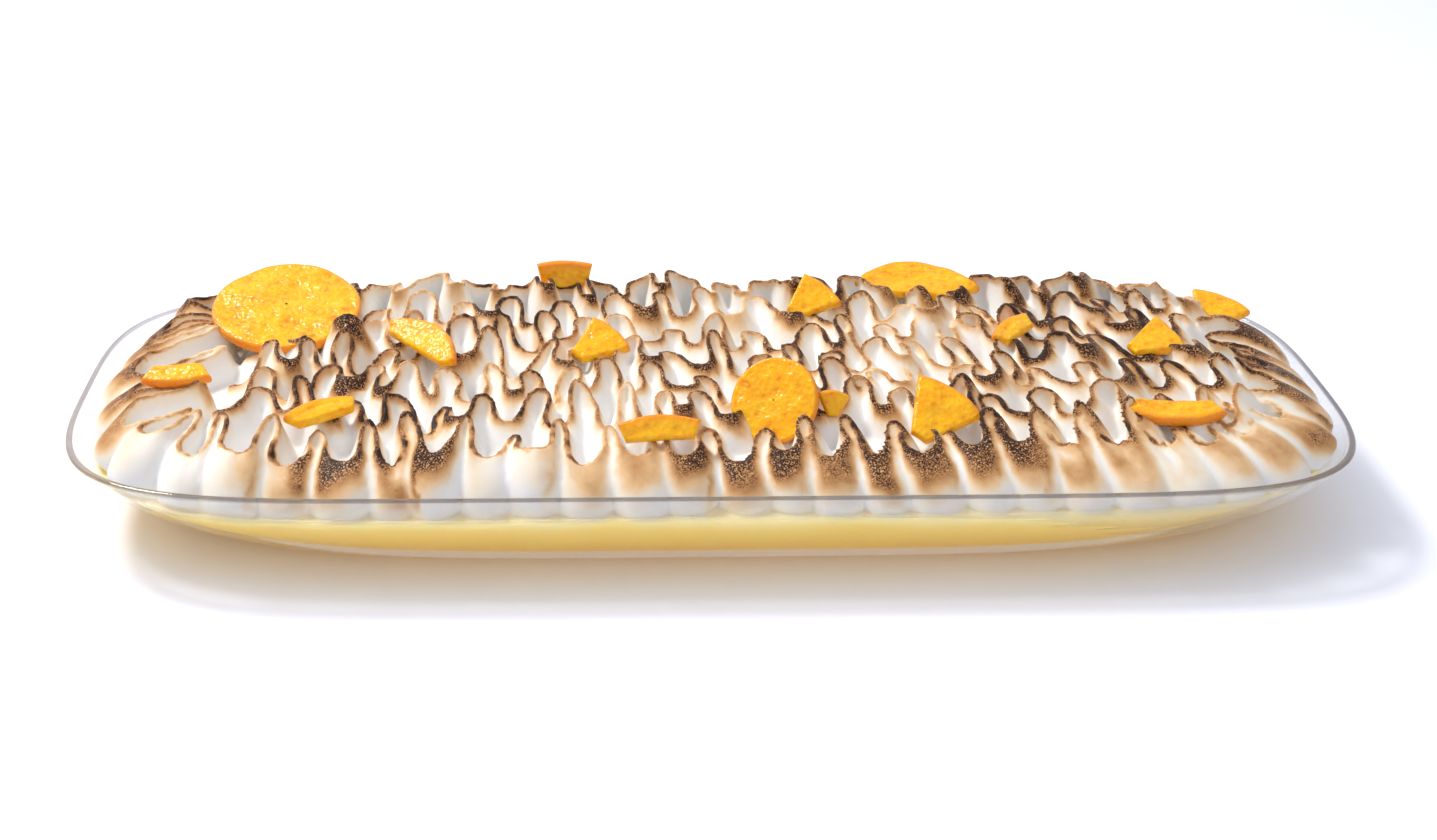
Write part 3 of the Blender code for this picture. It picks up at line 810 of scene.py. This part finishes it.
def ribbon_sections(line, closed):
    """Teardrop sections along a crest line, as an array of (station, point round the section, xyz)."""
    x, y, crest, girth, lean_x, lean_y = line
    if closed:
        tangent_x = np.roll(x, -TANGENT_STEPS) - np.roll(x, TANGENT_STEPS)
        tangent_y = np.roll(y, -TANGENT_STEPS) - np.roll(y, TANGENT_STEPS)
        ends = np.ones_like(x)
    else:
        tangent_x, tangent_y = np.gradient(x), np.gradient(y)
        run = np.arange(len(x)) * CREST_STEP
        near = np.minimum(run, run[-1] - run) / END_TAPER
        ends = np.sqrt(np.clip(1 - (1 - np.clip(near, 0, 1)) ** 2, END_LEAST, 1))
    size = np.hypot(tangent_x, tangent_y)
    side_x, side_y = -tangent_y / size, tangent_x / size
    stride = max(1, round(STATION_STEP / CREST_STEP))
    rise = np.linspace(0, 1, SECTION_LEVELS)[None, :]
    back_widths = section_widths(rise, BACK_FULLNESS)
    front_widths = section_widths(rise, FRONT_FULLNESS) * FRONT_GIRTH

    def column(values):
        return values[::stride, None]

    bulge = np.cos(rise * math.pi / 2) ** BULGE_POWER
    heights = -FOOT_DEPTH + rise * (column(crest) * column(ends) + FOOT_DEPTH)
    centre_x = column(x) + column(lean_x) * bulge
    centre_y = column(y) + column(lean_y) * bulge
    lip = EDGE_HALF + LIP_PER_LEAN * column(np.hypot(lean_x, lean_y))

    def flank(widths, way):
        half = way * (column(girth) * widths + lip) * column(ends)
        flank_x = centre_x + column(side_x) * half
        flank_y = centre_y + column(side_y) * half
        return np.stack([flank_x, flank_y, heights], axis=2)

    return np.concatenate([flank(back_widths, 1), flank(front_widths, -1)[:, ::-1]], axis=1)


def into_dish(points):
    """Lifts points onto the curd, and brings any beyond the glass inside it."""
    x, y, z = points[..., 0].copy(), points[..., 1].copy(), points[..., 2].copy()
    z += curd_top(x) + GAP
    height = np.clip((z - WALL) / (DISH_HEIGHT - WALL), 0, 1)
    inset = 1 - (1 - (1 - height) ** BELLY) ** (1 / BELLY)
    half_x = DISH_LENGTH / 2 - BASE_INSET_X * inset - WALL - GLASS_CLEARANCE
    half_y = DISH_WIDTH / 2 - BASE_INSET_Y * inset - WALL - GLASS_CLEARANCE
    power_x = BASE_POWERS[0] + (RIM_POWERS[0] - BASE_POWERS[0]) * height
    power_y = BASE_POWERS[1] + (RIM_POWERS[1] - BASE_POWERS[1]) * height
    reach = np.maximum(np.abs(x / half_x) ** power_x + np.abs(y / half_y) ** power_y, 1)
    return np.stack([x * reach ** (-1 / power_x), y * reach ** (-1 / power_y), z], axis=-1)


def slab_rings():
    """The low bed under the ruffles."""
    level = (CURD_LEVEL - WALL) / (DISH_HEIGHT - WALL)
    steps = ((0.0, -FOOT_DEPTH), (0.0, SLAB_HEIGHT * 0.5), (SLAB_SLOPE, SLAB_HEIGHT))
    return [into_dish(plan_ring(inner_section(level, SLAB_INSET + inset), z)) for inset, z in steps]


def piping_mesh(lines):
    """Points and faces of the bed and all the ruffles, still overlapping."""
    bodies = [lofted(slab_rings())]
    for line, closed in lines:
        sections = into_dish(ribbon_sections(line, closed))
        if closed:
            rows, columns = sections.shape[:2]
            bodies.append((sections.reshape(-1, 3), sheet_faces(rows, columns, True, True)))
        else:
            bodies.append(lofted(sections))
    points, faces = [], []
    base = 0
    for body_points, body_faces in bodies:
        points.append(body_points)
        faces += [tuple(corner + base for corner in face) for face in body_faces]
        base += len(body_points)
    return np.concatenate(points), faces


def apply_modifiers(obj):
    """Replaces an object's mesh by what its modifiers make of it."""
    graph = bpy.context.evaluated_depsgraph_get()
    made = bpy.data.meshes.new_from_object(obj.evaluated_get(graph), depsgraph=graph)
    obj.modifiers.clear()
    obj.data = made


def read_points(data):
    points = np.empty(len(data.vertices) * 3)
    data.vertices.foreach_get("co", points)
    return points.reshape(-1, 3)


def read_normals(data):
    normals = np.empty(len(data.vertices) * 3, np.float32)
    data.vertex_normals.foreach_get("vector", normals)
    return normals.reshape(-1, 3)


def averager(data):
    """A function that replaces each vertex's values by its neighbours' mean."""
    edges = np.empty(len(data.edges) * 2, np.int64)
    data.edges.foreach_get("vertices", edges)
    first, second = edges[::2], edges[1::2]
    count = len(data.vertices)
    links = np.maximum(np.bincount(first, minlength=count) + np.bincount(second, minlength=count), 1)

    def average(values):
        means = np.empty_like(values)
        for axis in range(values.shape[1]):
            column = values[:, axis]
            total = np.bincount(first, column[second], count) + np.bincount(second, column[first], count)
            means[:, axis] = total / links
        return means

    return average


def averaged(values, average, passes):
    for _ in range(passes):
        values = 0.5 * values + 0.5 * average(values)
    return values


def soften_valleys(data):
    """Fills the creases between the folds, and leaves the crests as they are."""
    points = read_points(data)
    normals = read_normals(data)
    eased = averaged(points, averager(data), VALLEY_PASSES)
    sunk = ((eased - points) * normals).sum(1)
    share = np.clip(sunk / VALLEY_DEPTH, 0, 1)[:, None]
    data.vertices.foreach_set("co", (points + (eased - points) * share).ravel())
    data.update()


def write_attribute(data, name, values):
    layer = data.attributes.new(name, "FLOAT", "POINT")
    layer.data.foreach_set("value", values.astype(np.float32))


def smoothstep(low, high, values):
    share = np.clip((values - low) / (high - low), 0, 1)
    return share * share * (3 - 2 * share)


def spots(points, table):
    """The summed strength of round spots at each point."""
    total = np.zeros(len(points))
    for x, y, radius, strength in table:
        away = np.hypot(points[:, 0] - x * MM, points[:, 1] - y * MM) / (radius * MM)
        total += strength * np.exp(-away**2)
    return total


def toast(data, lines):
    """Works out how browned each vertex is, and how close it lies to a crest."""
    crests = []
    for line, closed in lines:
        x, y, crest = line[:3]
        crests.append(into_dish(np.stack([x, y, crest], axis=1)))
    crests = np.concatenate(crests)
    tree = KDTree(len(crests))
    for index, point in enumerate(crests):
        tree.insert(point, index)
    tree.balance()
    points = read_points(data)
    normals = read_normals(data)
    nearest = [tree.find(point)[1:] for point in points]
    distance = np.array([found[1] for found in nearest])
    crest_z = crests[[found[0] for found in nearest], 2]
    drop = np.clip(crest_z - points[:, 2], 0, None)
    form = averaged(points, averager(data), FORM_PASSES)
    convex = ((points - form) * normals).sum(1)
    facing = normals @ np.array(TORCH_FROM)
    patch = np.array([noise.noise(Vector(point) * PATCH_SCALE) for point in points])
    fine = np.array([noise.noise(Vector(point) * FINE_SCALE) for point in points])
    reach = 1 - smoothstep(*TOAST_DROP, drop + FINE_DROP * fine)
    swell = smoothstep(*SWELL, convex)
    flame = smoothstep(*FLAME, facing)
    lingered = spots(points, TORCH_SPOTS)
    warmth = WARMTH + PATCH_WARMTH * patch + lingered - spots(points, PALE_SPOTS)
    browned = reach * swell * flame * np.clip(warmth, *WARMTH_LIMITS)
    halo = HALO * (1 - smoothstep(*HALO_NEAR, distance)) * np.clip(warmth, *HALO_LIMITS)
    browned = np.maximum(browned, halo) + HALO_OVERLAP * np.minimum(browned, halo)
    near = 1 - smoothstep(*EDGE_NEAR, distance)
    burn = BURN + BURN_PATCH * patch + BURN_FINE * fine + BURN_TORCH * lingered
    burnt = near * np.clip(burn, *BURN_LIMITS)
    write_attribute(data, "toast", np.clip(browned, 0, 1))
    write_attribute(data, "edge", np.clip(burnt, 0, 1))


def piece_stand(place, turn, lean):
    """Where an orange piece stands, as a matrix."""
    return (
        Matrix.Translation([value * MM for value in place])
        @ Matrix.Rotation(math.radians(turn), 4, "Z")
        @ Matrix.Rotation(math.radians(-lean), 4, "X")
    )


def sink_under_strips(data):
    """Sinks into the flat orange pieces whatever would show through them."""
    points = read_points(data)
    for _, radius, middle, span, tip, _, place, turn, lean in ORANGE_PIECES:
        if span >= 360 or lean < FLAT_LEAN:
            continue
        radius *= MM
        stand = np.array(piece_stand(place, turn, lean))
        local = (points - stand[:3, 3]) @ stand[:3, :3]
        centre_x, centre_z = slice_outline_centre(radius, middle, span, tip)
        x, z = local[:, 0] + centre_x, local[:, 2] + centre_z
        away = np.hypot(x, z)
        off = np.abs((np.degrees(np.arctan2(z, x)) - middle + 180) % 360 - 180)
        to_core = away - radius * tip * math.cos(math.radians(span / 2)) / np.cos(np.radians(off))
        to_side = away * np.radians(span / 2 - off)
        inside = np.minimum(np.minimum(radius - away, to_core), to_side) > SLICE_EDGE
        above = (local[:, 1] < SUNK_TO) & (local[:, 1] > -SUNK_FROM)
        local[inside & above, 1] = SUNK_TO
        points = local @ stand[:3, :3].T + stand[:3, 3]
    data.vertices.foreach_set("co", points.ravel())
    data.update()


def make_meringue(look):
    lines = [(tattered(line, 5.0 + index), closed) for index, (line, closed) in enumerate(ruffles())]
    points, faces = piping_mesh(lines)
    piece = new_piece("piped_meringue", points, faces, look, "meringue", "meringue")
    fuse = piece.modifiers.new("fuse", "REMESH")
    fuse.mode = "VOXEL"
    fuse.voxel_size = VOXEL
    fuse.use_smooth_shade = True
    apply_modifiers(piece)
    soften_valleys(piece.data)
    triangles = 2 * len(piece.data.polygons)
    if triangles > SHOWN_TRIANGLES:
        thin = piece.modifiers.new("thin", "DECIMATE")
        thin.ratio = SHOWN_TRIANGLES / triangles
        apply_modifiers(piece)
    sink_under_strips(piece.data)
    piece.data.shade_smooth()
    toast(piece.data, lines)


# The candied orange

def slice_outline_centre(radius, middle, span, tip):
    """Where the middle of the piece's box lies from the core of the orange, as in the part."""
    if span >= 360:
        return 0.0, 0.0
    turns = np.radians(np.linspace(middle - span / 2, middle + span / 2, RIND_SIDES))
    x, y = radius * np.cos(turns), radius * np.sin(turns)
    x = np.append(x, radius * tip * np.cos(turns[[0, -1]]))
    y = np.append(y, radius * tip * np.sin(turns[[0, -1]]))
    return (x.min() + x.max()) / 2, (y.min() + y.max()) / 2


def spaced_from_edges(count, near):
    """Shares from 0 to 1, closer together at both ends, where the edges round off."""
    ends = near * np.array(EDGE_SPACING)
    return np.concatenate([ends, np.linspace(near, 1 - near, count - len(ends)), 1 - ends[::-1]])


def make_orange_piece(look, name, radius, middle, span, tip, thickness, place, turn, lean, seed):
    """One slice or wedge: rind round its arc, segments with walls between, softly warped."""
    rng = random.Random(seed)
    whole = span >= 360
    radius, thickness = radius * MM, thickness * MM
    centre_x, centre_z = slice_outline_centre(radius, middle, span, tip)
    reach = radius - radius * (CORE_SHARE if whole else tip)
    radial = spaced_from_edges(SLICE_RADII, SLICE_EDGE / reach)
    if whole:
        turns = np.radians(np.linspace(0, 360, WHOLE_TURNS, endpoint=False))
    else:
        arc = math.radians(span) * radius * (1 + tip) / 2
        turns = np.radians(middle - span / 2 + span * spaced_from_edges(SLICE_TURNS, SLICE_EDGE / arc))
    chord = math.cos(math.radians(span / 2)) if not whole else 1.0
    first_wall = rng.uniform(0, SEGMENT_TURN)
    shift = [rng.uniform(-NOISE_SHIFT, NOISE_SHIFT) for _ in range(3)]
    front, back, attributes = [], [], []
    for angle in turns:
        bow = 1.0 if whole else chord / math.cos(angle - math.radians(middle))
        start = radius * (CORE_SHARE if whole else tip * bow)
        for share in radial:
            away = start + (radius - start) * share
            x, z = away * math.cos(angle) - centre_x, away * math.sin(angle) - centre_z
            to_rind, to_core = radius - away, away - start
            sides = [to_rind] if whole else [to_rind, to_core]
            if not whole:
                sides += [away * (angle - turns[0]), away * (turns[-1] - angle)]
            rim = max(min(sides), 0.0)
            body = math.sqrt(max(1 - (1 - min(rim / SLICE_EDGE, 1)) ** 2, 0.0))
            off_wall = abs((angle - first_wall + SEGMENT_TURN / 2) % SEGMENT_TURN - SEGMENT_TURN / 2) * away
            wall = math.exp(-(off_wall / SEGMENT_WALL) ** 2) if away < radius * SEGMENT_TO else 0.0
            dip = math.exp(-(off_wall / WALL_DIP_WIDTH) ** 2) if away < radius * WALL_DIP_TO else 0.0
            sunk = WALL_DIP * dip
            lip = RIND_DIP * math.exp(-((away / radius - SEGMENT_TO) / RIND_DIP_WIDTH) ** 2)
            at = Vector((x * WARP_SCALE + shift[0], z * WARP_SCALE + shift[1], shift[2]))
            pucker = PUCKER * noise.noise(at * PUCKER_SCALE)
            half = thickness / 2 * body * (1 - sunk - lip + pucker)
            warp = SLICE_WARP * (noise.noise(at) + FINE_WARP * noise.noise(at * FINE_WARP_SCALE))
            front.append((x, warp - half, z))
            back.append((x, warp + half, z))
            attributes.append((away / radius, wall))
    rows, columns = len(turns), len(radial)
    faces = sheet_faces(rows, columns, whole, False)
    count = len(front)
    faces += [tuple(corner + count for corner in reversed(face)) for face in faces]
    piece = new_piece("candied_" + name, front + back, faces, look)
    reach_values, wall_values = zip(*(attributes + attributes))
    write_attribute(piece.data, "reach", np.array(reach_values))
    write_attribute(piece.data, "wall", np.array(wall_values))
    weld = piece.modifiers.new("weld", "WELD")
    weld.merge_threshold = WELD
    apply_modifiers(piece)
    piece.data.shade_smooth()
    piece.matrix_world = piece_stand(place, turn, lean)
    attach(piece, "root")
    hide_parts(name)


# The studio

def make_camera():
    data = bpy.data.cameras.new("camera")
    data.lens = CAMERA_LENS
    data.sensor_width = CAMERA_SENSOR
    camera = bpy.data.objects.new("camera", data)
    bpy.context.scene.collection.objects.link(camera)
    cos_rise = math.cos(CAMERA_RISE)
    turned = Vector((math.sin(CAMERA_TURN), -math.cos(CAMERA_TURN), 0)) * cos_rise
    back = turned + Vector((0, 0, math.sin(CAMERA_RISE)))
    right = (-back).cross(Vector((0, 0, 1))).normalized()
    up = back.cross(right)
    rolled_right = right * math.cos(CAMERA_ROLL) + up * math.sin(CAMERA_ROLL)
    rolled_up = up * math.cos(CAMERA_ROLL) - right * math.sin(CAMERA_ROLL)
    pose = Matrix((rolled_right, rolled_up, back)).transposed().to_4x4()
    pose.translation = CAMERA_TARGET + back * CAMERA_DISTANCE
    camera.matrix_world = pose
    bpy.context.scene.camera = camera


def area_light(name, place, aim, size, power, colour):
    data = bpy.data.lights.new(name, "AREA")
    data.shape = "DISK"
    data.size = size
    data.energy = power
    data.color = colour
    light = bpy.data.objects.new(name, data)
    bpy.context.scene.collection.objects.link(light)
    light.location = place
    light.rotation_euler = (Vector(aim) - Vector(place)).to_track_quat("-Z", "Y").to_euler()


def make_studio():
    corners = ((-1, -1), (1, -1), (1, 1), (-1, 1))
    points = [(x * FLOOR_HALF, y * FLOOR_HALF, 0.0) for x, y in corners]
    floor = new_piece("floor", points, [(0, 1, 2, 3)], floor_material())
    area_light(
        "key", place=(-1.2, 0.7, 1.9), aim=(0, 0, 0.05), size=0.6, power=50.0, colour=(1.0, 0.98, 0.95),
    )
    area_light(
        "fill", place=(0.3, -2.2, 1.1), aim=(0, 0, 0.03), size=2.0, power=5.0, colour=(0.88, 0.92, 1.0),
    )
    world = bpy.data.worlds.new("studio")
    world.use_nodes = True
    background = world.node_tree.nodes["Background"]
    background.inputs["Color"].default_value = (*WORLD_COLOUR, 1.0)
    background.inputs["Strength"].default_value = WORLD_STRENGTH
    bpy.context.scene.world = world
    bpy.context.scene.view_settings.view_transform = "Standard"


def main():
    make_camera()
    make_studio()
    make_dish(glass_material())
    make_curd(curd_material())
    make_meringue(meringue_material())
    orange = orange_material()
    for seed, facts in enumerate(ORANGE_PIECES):
        make_orange_piece(orange, *facts, seed)


main()
